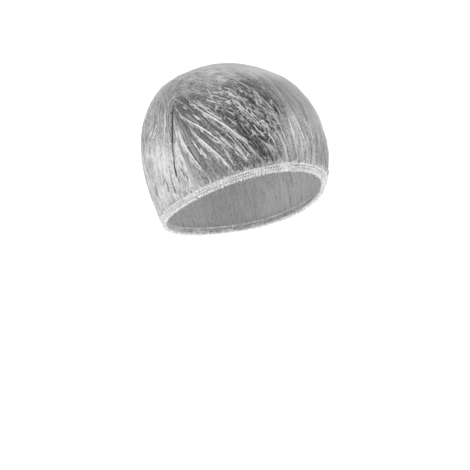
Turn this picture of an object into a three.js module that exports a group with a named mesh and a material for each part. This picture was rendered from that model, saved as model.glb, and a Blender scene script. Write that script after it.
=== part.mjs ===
// A disposable film cap, as worn: one disc of thin plastic film drawn over the head, its edge
// folded over and gathered on a flat elastic that runs right round in the folded hem.
//
// Frame: millimetres, +Z up, the forehead at -Y and the wearer's left at +X. The origin is on
// the inside of the crown, at the vertex, where the cap bears on the top of the head.
//
// Places on the film are given by an angle and a level. The angle runs from 0 at the forehead
// to 90 at the wearer's left ear, 180 at the nape and 270 at the right ear. The level is a row
// number of SECTIONS, with fractions in between: 0 at the vertex and 7 at the fold of the hem.
import * as THREE from "three";
import { ParametricGeometry } from "three/addons/geometries/ParametricGeometry.js";

// ---- Driving dimensions, in millimetres ----
const FILM_WALL = 1; // the film's wall, much thicker than real film so that it is a solid
const ELASTIC_THICKNESS = 1.4;
const ELASTIC_HEIGHT = 6;
const ELASTIC_GAP = 0.3; // all round the elastic, inside the hem
const HEM_HEIGHT = 11; // from the fold up to the seam
const HEM_TURN_UP = 10; // height of the turned-up edge inside the cap
const GATHERS = 36; // pleats that the hem draws into the film
const GATHER_DEPTH = 1.3;

// ---- Mesh steps ----
const COLUMNS = 108; // round the cap, three to each gather
const DOME_ROWS = 14; // from the vertex down to the seam

// The film's inside surface, one level loop to a row. Each loop is an ellipse in a plane that
// tilts up at the forehead, and its sides sag towards the ears.
// drop: its plane's depth below the vertex. tilt: in degrees. ahead: its middle's distance in
// front of the vertex. sag: how far its sides hang below its plane.
const SECTIONS = [
  { name: "vertex", drop: 0, tilt: 0, halfWidth: 0, halfLength: 0, ahead: 0, sag: 0 },
  { name: "crown", drop: 5, tilt: 1, halfWidth: 30, halfLength: 33, ahead: -2, sag: 0 },
  { name: "upper_crown", drop: 22, tilt: 3, halfWidth: 62, halfLength: 68, ahead: -3, sag: 0 },
  { name: "hairline", drop: 50, tilt: 6, halfWidth: 79, halfLength: 90, ahead: 0, sag: 0 },
  { name: "temples", drop: 82, tilt: 10, halfWidth: 84, halfLength: 99, ahead: 7, sag: 1 },
  { name: "brow", drop: 113, tilt: 15, halfWidth: 83, halfLength: 98, ahead: 17, sag: 3 },
  { name: "seam", drop: 138, tilt: 18, halfWidth: 79, halfLength: 92, ahead: 25, sag: 5 },
  { name: "fold", drop: 149, tilt: 18, halfWidth: 75, halfLength: 88, ahead: 26, sag: 5 },
];
const SEAM_LEVEL = SECTIONS.length - 2;
const FOLD_LEVEL = SECTIONS.length - 1;

// The film's main folds. Each is a straight crease from one place to another, standing proud
// by rise, or a dent where rise is below zero, and falling away over spread.
const FOLDS = [
  { name: "long_pull", from: [286, 2.8], to: [327, 5.7], rise: 3.0, spread: 6 },
  { name: "second_pull", from: [288, 3.5], to: [318, 5.8], rise: 2.6, spread: 5 },
  { name: "third_pull", from: [290, 4.0], to: [311, 6.0], rise: 2.4, spread: 5 },
  { name: "steep_pull", from: [281, 3.3], to: [293, 5.8], rise: 2.4, spread: 5 },
  { name: "ear_dent", from: [277, 2.9], to: [273, 5.8], rise: -2.6, spread: 6 },
  { name: "brow_pull", from: [323, 2.1], to: [343, 5.8], rise: 1.8, spread: 6 },
  { name: "forehead_left", from: [3, 3.4], to: [5, 6.0], rise: 1.8, spread: 6 },
  { name: "forehead_mid", from: [355, 3.5], to: [356, 6.0], rise: 1.8, spread: 6 },
  { name: "left_temple", from: [38, 3.2], to: [46, 6.0], rise: 2.4, spread: 7 },
  { name: "left_ear_front", from: [66, 3.0], to: [74, 6.0], rise: 2.6, spread: 7 },
  { name: "left_ear_dent", from: [96, 2.8], to: [98, 6.0], rise: -2.4, spread: 7 },
  { name: "left_ear_back", from: [125, 3.0], to: [118, 6.0], rise: 2.6, spread: 7 },
  { name: "nape_left", from: [160, 3.4], to: [152, 6.0], rise: 2.8, spread: 7 },
  { name: "nape_mid", from: [181, 3.0], to: [184, 6.0], rise: -2.4, spread: 8 },
  { name: "nape_right", from: [206, 3.3], to: [212, 6.0], rise: 2.8, spread: 7 },
  { name: "right_ear_back", from: [238, 3.0], to: [246, 6.0], rise: 2.6, spread: 7 },
];
const MM_PER_DEGREE = 1.55; // round the cap, at its widest
const MM_PER_LEVEL = 30; // down the cap, between two of the dome's sections

// A smooth curve through one column of SECTIONS, at a level between its rows. Above the vertex
// the sizes go on with their sign turned, so that the crown is round and not pointed.
function columnAt(column, level) {
  const mirrored = column === "halfWidth" || column === "halfLength";
  const row = (i) => {
    if (i < 0) return (mirrored ? -1 : 1) * SECTIONS[-i][column];
    if (i > FOLD_LEVEL) return 2 * SECTIONS[FOLD_LEVEL][column] - SECTIONS[SEAM_LEVEL][column];
    return SECTIONS[i][column];
  };
  const i = Math.min(Math.floor(level), FOLD_LEVEL - 1);
  const t = level - i;
  const [a, b, c, d] = [row(i - 1), row(i), row(i + 1), row(i + 2)];
  return b + 0.5 * t * (c - a + t * (2 * a - 5 * b + 4 * c - d + t * (3 * (b - c) + d - a)));
}

// The film's smooth inside surface at an angle in radians and a level.
function smoothPoint(angle, level) {
  const tilt = THREE.MathUtils.degToRad(columnAt("tilt", level));
  const across = columnAt("halfWidth", level) * Math.sin(angle);
  const behind = -columnAt("halfLength", level) * Math.cos(angle) - columnAt("ahead", level);
  const sag = columnAt("sag", level) * Math.sin(angle) ** 2;
  const depth = columnAt("drop", level) + behind * Math.sin(tilt) + sag;
  return new THREE.Vector3(across, behind * Math.cos(tilt), -depth);
}

// The direction out of the film there, from two short steps along it.
function outward(angle, level) {
  if (level === 0) return new THREE.Vector3(0, 0, 1);
  const step = 0.01;
  const here = smoothPoint(angle, level);
  const round = smoothPoint(angle + step, level).sub(here);
  const down = smoothPoint(angle, level - step).sub(here).negate();
  return down.cross(round).normalize();
}

// How far one fold stands out at a place: full along its crease, and fading at both ends.
function foldHeight(fold, degrees, level) {
  const turn = THREE.MathUtils.euclideanModulo(degrees - fold.from[0] + 180, 360) - 180;
  const crease = new THREE.Vector2(fold.to[0] - fold.from[0], fold.to[1] - fold.from[1]);
  crease.multiply(new THREE.Vector2(MM_PER_DEGREE, MM_PER_LEVEL));
  const place = new THREE.Vector2(turn * MM_PER_DEGREE, (level - fold.from[1]) * MM_PER_LEVEL);
  const along = THREE.MathUtils.clamp(place.dot(crease) / crease.lengthSq(), 0, 1);
  const away = place.distanceTo(crease.multiplyScalar(along));
  return fold.rise * Math.sin(Math.PI * along) * Math.exp(-((away / fold.spread) ** 2));
}

// All that the folds and gathers add at a place. The hem below the seam is held flat.
function relief(angle, level) {
  if (level === 0 || level >= SEAM_LEVEL) return 0;
  const degrees = THREE.MathUtils.radToDeg(angle);
  const folds = FOLDS.reduce((sum, fold) => sum + foldHeight(fold, degrees, level), 0);
  const fromSeam = SEAM_LEVEL - level;
  const gathered = THREE.MathUtils.smoothstep(fromSeam, 0, 0.4) * Math.exp(-fromSeam / 1.2);
  const held = THREE.MathUtils.smoothstep(fromSeam, 0, 0.4);
  return folds * held + GATHER_DEPTH * gathered * Math.cos(GATHERS * angle);
}

// A point on a wall of the film or the elastic, out of the smooth inside surface by offset.
function wallPoint(angle, { level, offset }) {
  const reach = offset + (offset >= 0 ? relief(angle, level) : 0);
  return smoothPoint(angle, level).addScaledVector(outward(angle, level), reach);
}

// Sweeps a wall's stations, each a level and an offset, right round the cap into one solid.
function sweptRound(stations, columns) {
  const last = stations.length - 1;
  const placeOn = (u, v, target) => {
    const angle = (Math.round(u * columns) % columns) * ((2 * Math.PI) / columns);
    target.copy(wallPoint(angle, stations[Math.round(v * last)]));
  };
  return new ParametricGeometry(placeOn, columns, last);
}

// Stations given by a height in millimetres above the hem's fold, turned into levels.
const hemStations = (rows) =>
  rows.map(({ height, offset }) => ({ level: FOLD_LEVEL - height / HEM_HEIGHT, offset }));

const ELASTIC_FOOT = FILM_WALL + ELASTIC_GAP;
const ELASTIC_TOP = ELASTIC_FOOT + ELASTIC_HEIGHT;

// The film: down the inside from the vertex, round the elastic's pocket, over the turned-up
// edge, down to the fold and round it, and up the outside to the vertex.
function filmStations() {
  const pocket = ELASTIC_THICKNESS + 2 * ELASTIC_GAP;
  const dome = Array.from({ length: DOME_ROWS + 1 }, (_, i) => (SEAM_LEVEL * i) / DOME_ROWS);
  const hem = hemStations([
    { height: ELASTIC_TOP, offset: 0 },
    { height: FILM_WALL, offset: 0 },
    { height: FILM_WALL, offset: -pocket },
    { height: ELASTIC_TOP, offset: -pocket },
    { height: HEM_TURN_UP, offset: -pocket },
    { height: HEM_TURN_UP, offset: -pocket - FILM_WALL },
    { height: ELASTIC_TOP, offset: -pocket - FILM_WALL },
    { height: FILM_WALL / 2, offset: -pocket - FILM_WALL },
    { height: 0, offset: -pocket - FILM_WALL / 2 },
    { height: 0, offset: FILM_WALL / 2 },
    { height: FILM_WALL / 2, offset: FILM_WALL },
    { height: ELASTIC_TOP, offset: FILM_WALL },
  ]);
  return [
    ...dome.map((level) => ({ level, offset: 0 })),
    ...hem,
    ...dome.map((level) => ({ level, offset: FILM_WALL })).reverse(),
  ];
}

// The elastic: a flat band standing in the pocket, clear of the film all round.
function elasticStations() {
  const outer = -ELASTIC_GAP;
  const inner = outer - ELASTIC_THICKNESS;
  return hemStations([
    { height: ELASTIC_TOP, offset: outer },
    { height: ELASTIC_TOP, offset: inner },
    { height: ELASTIC_FOOT, offset: inner },
    { height: ELASTIC_FOOT, offset: outer },
    { height: ELASTIC_TOP, offset: outer },
  ]);
}

function makeFilmCrown() {
  const film = new THREE.MeshStandardMaterial({
    color: 0xc4c6c8,
    roughness: 0.3,
    metalness: 0,
    transparent: true,
    opacity: 0.6,
    side: THREE.DoubleSide,
  });
  const mesh = new THREE.Mesh(sweptRound(filmStations(), COLUMNS), film);
  mesh.name = "film_crown";
  return mesh;
}

function makeElasticBand() {
  const rubber = new THREE.MeshStandardMaterial({ color: 0xeeeeec, roughness: 0.8, metalness: 0 });
  const mesh = new THREE.Mesh(sweptRound(elasticStations(), COLUMNS), rubber);
  mesh.name = "elastic_band";
  return mesh;
}

const cap = new THREE.Group();
cap.add(makeFilmCrown(), makeElasticBand());

export default cap;
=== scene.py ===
# %% [markdown]
# # A disposable film cap
# The cap is one disc of thin clear plastic film, drawn over a head. Its edge is folded under,
# sewn down with two rows of stitching and gathered on a flat elastic. The film is so thin that
# it has almost no colour of its own: what the eye sees is its creases, which catch the light as
# white lines, and a milky haze where many fine creases lie together. So most of the work here
# goes into the creases. The model is made in the cap's worn shape, with nothing inside it.
#
# Every number below that is in millimetres is turned into metres only when a mesh is made.

# %% Load the frame
import math

import bpy
import numpy as np
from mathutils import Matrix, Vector


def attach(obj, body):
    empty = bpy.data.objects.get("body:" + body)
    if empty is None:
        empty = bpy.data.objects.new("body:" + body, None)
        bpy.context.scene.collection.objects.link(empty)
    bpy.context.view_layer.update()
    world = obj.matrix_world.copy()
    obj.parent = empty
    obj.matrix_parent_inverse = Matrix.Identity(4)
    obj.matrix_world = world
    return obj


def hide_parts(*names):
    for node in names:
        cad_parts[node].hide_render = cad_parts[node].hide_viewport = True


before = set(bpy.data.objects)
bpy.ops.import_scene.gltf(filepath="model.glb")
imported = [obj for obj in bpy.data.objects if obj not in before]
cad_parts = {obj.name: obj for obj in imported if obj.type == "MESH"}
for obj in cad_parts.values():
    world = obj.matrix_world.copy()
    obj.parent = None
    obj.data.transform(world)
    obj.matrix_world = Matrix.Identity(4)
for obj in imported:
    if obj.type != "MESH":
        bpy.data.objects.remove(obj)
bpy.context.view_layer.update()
MM = 0.001


# %% Putting things in the scene
def in_scene(name, data):
    """A new object in the scene, at the origin, that holds some data."""
    thing = bpy.data.objects.new(name, data)
    bpy.context.collection.objects.link(thing)
    return thing


def stand_off(thing, target, turn, rise, distance):
    """Stands a camera or a lamp off a target and aims it there. A turn of 0 is straight in
    front. Angles are in radians and lengths in metres."""
    level = math.cos(rise)
    away = Vector((math.sin(turn) * level, -math.cos(turn) * level, math.sin(rise)))
    thing.location = target + distance * away
    thing.rotation_euler = away.to_track_quat("Z", "Y").to_euler()


# %% [markdown]
# ## The camera
# A long lens from nearly two metres keeps the cap's proportions, as a catalogue picture does.
# It stands off the wearer's right temple and a little below the hem, and looks slightly up, so
# that the hem's curve from the forehead to the nape shows.

# %% Camera
CAMERA_TURN, CAMERA_RISE, CAMERA_AWAY = math.radians(-40), math.radians(-3), 1.8
AIM = Vector((0, 0, -0.171))
FRAME_WIDTH = 0.47  # metres across the picture, at the cap
SHIFT_ACROSS = 0.016  # of the picture's width
SENSOR_WIDTH = 36  # mm
FURTHEST = 50  # metres, past the end of the backdrop


def place_camera():
    data = bpy.data.cameras.new("camera")
    data.sensor_width = SENSOR_WIDTH
    data.lens = SENSOR_WIDTH * CAMERA_AWAY / FRAME_WIDTH
    data.shift_x = SHIFT_ACROSS
    data.clip_end = FURTHEST
    camera = in_scene("camera", data)
    stand_off(camera, AIM, CAMERA_TURN, CAMERA_RISE, CAMERA_AWAY)
    bpy.context.scene.camera = camera
    return camera


camera = place_camera()
print("camera at", [round(x, 3) for x in camera.location])

# %% [markdown]
# ## The cap's smooth form
# A worn cap is a dome whose level loops are ellipses: small and flat at the vertex, widest
# above the ears, and drawn in again at the hem, which tilts up over the forehead. It could be
# sculpted, or subdivided from a box, but a table of loops with a smooth curve through each
# column says the same in a few lines, and gives every point a name: an **angle** round the cap
# (0 at the forehead, 90 at the wearer's left ear, 180 at the nape) and a **level** down it
# (0 at the vertex, 6 at the seam, 7 at the fold of the hem).

# %% The loops, from the vertex to the fold of the hem
# drop: depth below the vertex, mm. tilt: degrees, up at the forehead. half_width and
# half_length: mm. ahead: how far the loop's middle is in front of the vertex, mm. sag: how far
# its sides hang below its plane, mm.
LOOP_COLUMNS = ("drop", "tilt", "half_width", "half_length", "ahead", "sag")
LOOPS = {
    "vertex": (0, 0, 0, 0, 0, 0),
    "crown": (5, 1, 30, 33, -2, 0),
    "upper_crown": (22, 3, 62, 68, -3, 0),
    "hairline": (50, 6, 79, 90, 0, 0),
    "temples": (82, 10, 84, 99, 7, 1),
    "brow": (113, 15, 83, 98, 17, 3),
    "seam": (138, 18, 79, 92, 25, 5),
    "fold": (149, 18, 75, 88, 26, 5),
}
SEAM_LEVEL, FOLD_LEVEL = 6, 7
HEM_HEIGHT = 11  # mm, from the fold up to the seam


def loop_column(name, level):
    """A smooth curve through one column of LOOPS, read at a level."""
    column = LOOP_COLUMNS.index(name)
    rows = [row[column] for row in LOOPS.values()]
    mirror = -1 if name in ("half_width", "half_length") else 1  # on past the vertex
    padded = np.array([mirror * rows[1], *rows, 2 * rows[-1] - rows[-2]], float)
    i = np.clip(np.floor(level).astype(int), 0, FOLD_LEVEL - 1)
    t = level - i
    a, b, c, d = (padded[i + k] for k in range(4))
    return b + 0.5 * t * (c - a + t * (2 * a - 5 * b + 4 * c - d + t * (3 * (b - c) + d - a)))


def form_point(angle, level):
    """Points on the smooth inside of the film, in mm. The angle is in degrees."""
    angle, level = np.radians(angle), np.asarray(level, float)
    tilt = np.radians(loop_column("tilt", level))
    behind = -loop_column("half_length", level) * np.cos(angle) - loop_column("ahead", level)
    sag = loop_column("sag", level) * np.sin(angle) ** 2
    x = loop_column("half_width", level) * np.sin(angle)
    z = -loop_column("drop", level) - behind * np.sin(tilt) - sag
    return np.stack(np.broadcast_arrays(x, behind * np.cos(tilt), z), -1)


NEIGHBOUR_ASIDE, NEIGHBOUR_UP = 0.5, 0.01  # degrees and levels, to the points that show a slope


def form_outward(angle, level):
    """The direction out of the film at each place."""
    level = np.maximum(np.asarray(level, float), 2 * NEIGHBOUR_UP)  # the vertex has no upper side
    here = form_point(angle, level)
    round_it = form_point(angle + NEIGHBOUR_ASIDE, level) - here
    down = here - form_point(angle, level - NEIGHBOUR_UP)
    out = np.cross(down, round_it)
    return out / np.linalg.norm(out, axis=-1, keepdims=True)


print("hem loop, mm:", np.ptp(form_point(np.arange(0, 360, 5), 7.0), axis=0).round(1))

# %% [markdown]
# ## A fine grid over the film
# Creases in film are sharp, so the mesh has to be fine: about a millimetre between points, with
# its rows spaced evenly down the side of the cap. Every later step only adds to a few numbers
# kept for each point, such as its **height** off the smooth form.

# %% The grid
FILM_COLUMNS, FILM_ROWS = 560, 158
FILM_END = 6.36  # the level where the film ends, behind the hem
RIGHT_EAR = 270.0  # degrees
FINE_STEPS = 600  # along which the side of the cap is measured


def even_levels(rows, end):
    """Levels whose rows are evenly spaced down the side of the cap."""
    fine = np.linspace(0, end, FINE_STEPS)
    steps = np.linalg.norm(np.diff(form_point(RIGHT_EAR, fine), axis=0), axis=1)
    run = np.concatenate([[0], np.cumsum(steps)])
    return np.interp(np.linspace(0, run[-1], rows + 1), run, fine)


film_levels = even_levels(FILM_ROWS, FILM_END)
film_angles = np.arange(FILM_COLUMNS) * 360 / FILM_COLUMNS
film_form = form_point(film_angles[None, :], film_levels[:, None])
film_out = form_outward(film_angles[None, :], film_levels[:, None])
height = np.zeros(film_form.shape[:2])
row_gaps = np.linalg.norm(np.diff(film_form, axis=0), axis=-1)
print("grid of", height.size, "points, rows", row_gaps.mean().round(2), "mm apart")

# %% [markdown]
# ## Which way the film is drawn
# Every crease in the film runs the way the film is drawn. Round the vertex that is across the
# cap, below the temples it is down to the hem, and over the right ear the film was pulled on,
# so creases fan out from there to the forehead. A guide says how the film is drawn at one place
# and between guides it blends. Each also says how milky the film is there, a haze that also
# holds painted reflections, light ones and dark ones, how strongly it is lined, and how much of
# that is crumple, which runs no way at all.

# %% The guides
# heading: degrees, 0 straight down the cap and 90 round it, towards a larger angle. haze: 0 for
# clear film and about 1 for milky film, partly the film's own milkiness and partly a painted soft
# reflection, and below zero a painted dark reflection. lined and crumpled: from 0 to 1.
GUIDE_COLUMNS = ("angle", "level", "heading", "haze", "lined", "crumpled")
GUIDES = (
    (280, 2.4, 80, 0.40, 0.36, 0.7),
    (297, 2.2, 82, 0.50, 0.40, 0.7),
    (313, 1.8, 70, 0.58, 0.38, 0.5),
    (309, 2.9, 62, -0.10, 0.80, 0.8),
    (323, 2.6, 45, 0.25, 0.70, 0.8),
    (333, 2.7, 30, -0.40, 0.50, 0.3),
    (343, 2.0, 25, 0.78, 0.30, 0.0),
    (254, 3.2, 15, 0.38, 0.42, 0.9),
    (250, 4.4, -12, 0.78, 0.42, 0.9),
    (244, 5.6, -16, 0.78, 0.42, 0.9),
    (266, 2.8, 10, 0.32, 0.70, 0.1),
    (264, 3.3, 0, 0.30, 0.70, 0.3),
    (257, 5.8, -10, 1.05, 0.70, 0.7),
    (271, 3.8, -6, 0.74, 0.70, 0.1),
    (267, 4.7, -9, 1.45, 0.70, 0.6),
    (268, 5.6, -6, 0.90, 0.90, 0.4),
    (277, 5.2, -2, 0.95, 0.60, 0.5),
    (281, 4.2, 2, 0.42, 0.70, 0.1),
    (290, 3.3, 50, -0.45, 0.35, 0.2),
    (287, 3.8, 20, 0.14, 0.40, 0.1),
    (287, 5.2, 6, 0.12, 0.40, 0.1),
    (298, 4.3, 33, 0.20, 0.45, 0.1),
    (301, 5.5, 26, 0.44, 0.45, 0.3),
    (312, 4.0, 38, -0.06, 0.90, 0.1),
    (315, 4.9, 31, 0.10, 1.00, 0.1),
    (322, 3.6, 36, -0.55, 1.00, 0.7),
    (332, 3.5, 30, -1.90, 1.00, 0.7),
    (333, 4.4, 28, -1.30, 1.00, 0.7),
    (329, 5.6, 24, -0.18, 0.80, 0.4),
    (347, 2.8, 14, 0.44, 0.28, 0.0),
    (357, 3.0, 9, 0.42, 0.30, 0.0),
    (348, 4.4, 12, 0.80, 0.50, 0.3),
    (349, 5.6, 12, 0.55, 0.50, 0.3),
    (3, 4.2, 7, 0.52, 0.55, 0.2),
    (16, 2.9, 5, 0.42, 0.25, 0.0),
    (20, 5.4, 6, 0.34, 0.55, 0.2),
    (36, 3.8, 8, 0.62, 0.40, 0.3),
    (55, 2.4, 30, 0.36, 0.40, 0.4),
    (60, 4.6, 0, 0.62, 0.42, 0.4),
    (95, 3.4, -12, 0.30, 0.40, 0.5),
    (76, 3.6, 4, 0.66, 0.40, 0.5),
    (95, 5.2, 0, 0.75, 0.45, 0.3),
    (135, 2.4, 20, 0.62, 0.35, 0.5),
    (116, 4.0, -10, 0.55, 0.45, 0.4),
    (158, 3.4, 12, 0.68, 0.35, 0.5),
    (140, 4.6, 4, 0.36, 0.45, 0.3),
    (180, 2.4, -20, 0.40, 0.40, 0.5),
    (182, 4.6, 0, 0.72, 0.42, 0.4),
    (205, 3.6, 6, 0.34, 0.45, 0.4),
    (222, 2.4, 20, 0.52, 0.40, 0.5),
    (220, 4.6, -6, 0.64, 0.42, 0.5),
    (180, 0.8, 50, 0.45, 0.35, 0.4),
    (0, 0.8, 30, 0.50, 0.28, 0.1),
)
GUIDE_REACH = 17  # mm over which one guide gives way to the next
TAIL_SHARE, TAIL_REACH = 1e-4, 20  # a faint tail, in mm, where no guide is near

guides = dict(zip(GUIDE_COLUMNS, np.array(GUIDES, float).T))
guide_points = form_point(guides["angle"], guides["level"])


def blend_guides():
    """Every guide column blended over the grid. Headings blend as directions."""
    gap = np.linalg.norm(film_form[:, :, None] - guide_points, axis=-1)
    weight = np.exp(-((gap / GUIDE_REACH) ** 2)) + TAIL_SHARE * np.exp(-gap / TAIL_REACH)
    weight /= weight.sum(-1, keepdims=True)
    turn = np.radians(guides["heading"])
    fields = {name: weight @ guides[name] for name in ("haze", "lined", "crumpled")}
    fields["heading"] = np.arctan2(weight @ np.sin(turn), weight @ np.cos(turn))
    return fields


field = blend_guides()
# the haze is the film's milkiness with painted soft reflections in it, and below zero a painted dark
# reflection
haze, lined, crumpled = field["haze"], field["lined"], field["crumpled"]
print("haze from", haze.min().round(2), "to", haze.max().round(2))

# %% [markdown]
# ## Following the film down to the hem
# Noise that is stretched one way makes streaks, but here the way changes from place to place.
# So every point of the grid is walked down the film, as a drop of water would run along the
# creases, until it meets the hem. The angle where it gets there is the name of the crease that
# it lies on: points on one crease share it. Noise read at that angle makes lines that run just
# as the film is drawn, and crowd together where the film is pulled from.

# %% Walk every point of the grid to the hem
WALK_STEP, WALK_STEPS = 2.5, 130  # mm, and enough of them for the longest walk
LAST_LEVEL_DEPTH = 28  # mm in the level above the seam, about
TOP_LEVEL = 0.05  # no walk goes nearer to the vertex
LEAST_DEGREE = 0.15  # mm, so that a degree is never nothing at the vertex

mm_per_level = np.linalg.norm(np.gradient(film_form, axis=0), axis=-1)
mm_per_level /= np.gradient(film_levels)[:, None]
mm_per_degree = np.linalg.norm(np.roll(film_form, -1, 1) - film_form, axis=-1)
mm_per_degree = np.maximum(mm_per_degree * FILM_COLUMNS / 360, LEAST_DEGREE)


def read(grid, angles, levels):
    """A grid's values at any places, blended from the four nearest points."""
    row = np.interp(levels, film_levels, np.arange(FILM_ROWS + 1))
    column = np.mod(angles * FILM_COLUMNS / 360, FILM_COLUMNS)
    top, left = np.minimum(row.astype(int), FILM_ROWS - 1), column.astype(int) % FILM_COLUMNS
    right, v, u = (left + 1) % FILM_COLUMNS, row - top, column - np.floor(column)
    upper = grid[top, left] * (1 - u) + grid[top, right] * u
    lower = grid[top + 1, left] * (1 - u) + grid[top + 1, right] * u
    return upper * (1 - v) + lower * v


def step_down(angles, levels, step, turn=0):
    """One step along the way the film is drawn, turned by some degrees."""
    sines, cosines = np.sin(field["heading"]), np.cos(field["heading"])
    heading = np.arctan2(read(sines, angles, levels), read(cosines, angles, levels))
    heading = heading + np.radians(turn)
    down = step * np.cos(heading) / read(mm_per_level, angles, levels)
    round_it = step * np.sin(heading) / read(mm_per_degree, angles, levels)
    return angles + round_it, np.clip(levels + down, TOP_LEVEL, FILM_END)


def walk_to_hem():
    """For each point, the angle where it meets the hem and how far it walked, in mm."""
    angles = np.repeat(film_angles[None, :], FILM_ROWS + 1, 0)
    levels = np.repeat(film_levels[:, None], FILM_COLUMNS, 1)
    run = np.zeros_like(angles)
    for _ in range(WALK_STEPS):
        moving = levels < SEAM_LEVEL - 1e-3
        share = np.clip((SEAM_LEVEL - levels) * LAST_LEVEL_DEPTH / WALK_STEP, 0, 1) * moving
        angles, levels = step_down(angles, levels, WALK_STEP * share)
        run += WALK_STEP * share
    return angles, run


hem_angle, hem_run = walk_to_hem()
print("walked to the hem, up to", hem_run.max().round(), "mm")

# %% [markdown]
# ## Pleated noise
# Film can't stretch, so a crumpled sheet is made of flat facets that meet in sharp crests.
# Smooth noise is too soft for that. But where smooth noise is multiplied up and folded back on
# itself, as a zigzag, its contour lines become sharp crests with flat facets between, and the
# facets are long and narrow like those in real film.

# %% Noise, and noise folded into facets
NOISE_TABLE = 256
NOISE_GAIN = 1.6  # brings the noise to about -1 to 1
PHASE_STEP = 0.37  # so that no two zigzags start alike


def noise(points, seed):
    """Smooth gradient noise at each point, from about -1 to 1."""
    table = np.random.default_rng(seed)
    order = np.tile(table.permutation(NOISE_TABLE), 3)
    lean = table.normal(size=(NOISE_TABLE, 3))
    lean /= np.linalg.norm(lean, axis=1, keepdims=True)
    cell = np.floor(points).astype(int)
    part = points - cell
    ease = part**3 * (part * (part * 6 - 15) + 10)
    total = 0
    for corner in np.ndindex(2, 2, 2):
        corner = np.array(corner)
        i, j, k = np.moveaxis((cell + corner) % NOISE_TABLE, -1, 0)
        dot = (lean[order[order[order[i] + j] + k]] * (part - corner)).sum(-1)
        total = total + dot * np.prod(np.where(corner, ease, 1 - ease), -1)
    return total * NOISE_GAIN


def facets(points, folds, seed):
    """Noise folded into a zigzag from -1 to 1."""
    phase = folds * noise(points, seed) + PHASE_STEP * seed
    return 4 * np.abs(phase - np.round(phase)) - 1


sample = facets(film_form[::9, ::9] / 20, 2, 1)
print("a zigzag runs from", sample.min().round(2), "to", sample.max().round(2))

# %% [markdown]
# ## Over the crown
# Near the vertex the walks to the hem spread apart like the segments of an orange, but real
# film lies straight over the crown. So up there a second pattern takes over, whose streaks run
# across the cap. **crown** says by how much: 1 at the vertex, and 0 below a ragged edge. Film
# on the crown is lined less than the guides say, and where film is crumpled its haze is cloudy.

# %% The crown and the clouds
CROWN_TURN = math.radians(-40)  # the streaks run from behind the right ear to the left temple
CROWN_LEVEL, CROWN_FADE = 1.9, 1.4  # levels: where its edge is, and how wide
CROWN_RAGGED, CROWN_PATCHES = 0.7, 24  # levels, and mm
CROWN_LINED, CROWN_CRUMPLED = 0.23, 0.65
CLOUDY, CLOUD_FROM, CLOUD_SIZE = 0.6, 0.2, 9  # haze, crumpled and mm
HEM_RADIUS = 85  # mm, about
SWAY, SWAY_LENGTH = 9, 45  # mm, by which the streaks over the crown bend

crown = CROWN_LEVEL + CROWN_RAGGED * noise(film_form / CROWN_PATCHES, 8) - film_levels[:, None]
crown = np.clip(crown / CROWN_FADE, 0, 1)
crown = crown**2 * (3 - 2 * crown)
lined = lined + crown * (CROWN_LINED - lined)
crumpled = crumpled + crown * (CROWN_CRUMPLED - crumpled)
clouds = CLOUDY * (crumpled - CLOUD_FROM).clip(0) * (1 - crown)
haze = haze + clouds * noise(film_form / CLOUD_SIZE, 12)


def along_creases(across, along):
    """Places whose noise is streaks along the creases, with the streaks' sizes in mm."""
    turn, ring = np.radians(hem_angle), HEM_RADIUS / across
    return np.stack([ring * np.cos(turn), ring * np.sin(turn), hem_run / along], -1)


def over_crown(across, along):
    """Places whose noise is streaks straight over the crown, from one side to the other."""
    x, y, z = np.moveaxis(film_form, -1, 0)
    run = x * math.cos(CROWN_TURN) + y * math.sin(CROWN_TURN)
    away = y * math.cos(CROWN_TURN) - x * math.sin(CROWN_TURN)
    away = away + SWAY * noise(film_form / SWAY_LENGTH, 11)
    return np.stack([away / across, z / across, run / along], -1)


print("with clouds, haze from", haze.min().round(2), "to", haze.max().round(2))

# %% [markdown]
# ## The film's facets
# Three sizes of pleat run along the creases and two sizes of crumple run no way at all. Where
# many creases crowd together, a pleat would be narrower than the grid can show, so there the
# large pleats give way to lines in the finish.

# %% Facets
# across, along and size: mm. folds: how often a streak is folded. depth: mm.
PLEAT_COLUMNS = ("across", "along", "folds", "depth", "seed")
PLEATS = ((34, 110, 1.4, 0.35, 1), (15, 60, 1.6, 0.45, 2), (8, 38, 1.4, 0.30, 3))
CRUMPLE_COLUMNS = ("size", "folds", "depth", "seed")
CRUMPLES = ((16, 1.6, 0.55, 4), (8, 1.5, 0.32, 5))
EVERYWHERE = 0.1  # the share of facets in the smoothest film
HEM_DEGREE = 1.5  # mm of hem in a degree, about
LEAST_CROWDED = 0.6
FACET_WIDTH = 2.2  # mm, near which a pleat is wide enough to show


def crowding():
    """How many millimetres of hem each millimetre of film leads to."""
    down = np.gradient(np.unwrap(hem_angle, axis=0, period=360), axis=0)
    down = down / np.linalg.norm(np.gradient(film_form, axis=0), axis=-1).clip(0.2)
    round_it = np.mod(np.roll(hem_angle, -1, 1) - hem_angle + 180, 360) - 180
    round_it = round_it / (mm_per_degree * 360 / FILM_COLUMNS)
    return (np.hypot(down, round_it) * HEM_DEGREE).clip(LEAST_CROWDED)


crowded = crowding()


def pleat(across, along, folds, depth, seed):
    """Heights of the pleats of one size."""
    room = np.clip(across / (4 * folds) / crowded / FACET_WIDTH - 0.4, 0, 1)
    down = facets(along_creases(across, along), folds, seed)
    over = facets(over_crown(across, along), folds, seed)
    share = EVERYWHERE + lined * (1 - 0.7 * crumpled)
    return depth * room * share * ((1 - crown) * down + crown * over)


def crumple_up(size, folds, depth, seed):
    """Heights of the crumples of one size."""
    return depth * (EVERYWHERE + lined * crumpled) * facets(film_form / size, folds, seed)


for row in PLEATS:
    height += pleat(**dict(zip(PLEAT_COLUMNS, row)))
for row in CRUMPLES:
    height += crumple_up(**dict(zip(CRUMPLE_COLUMNS, row)))
print("height from", height.min().round(2), "to", height.max().round(2), "mm")
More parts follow.
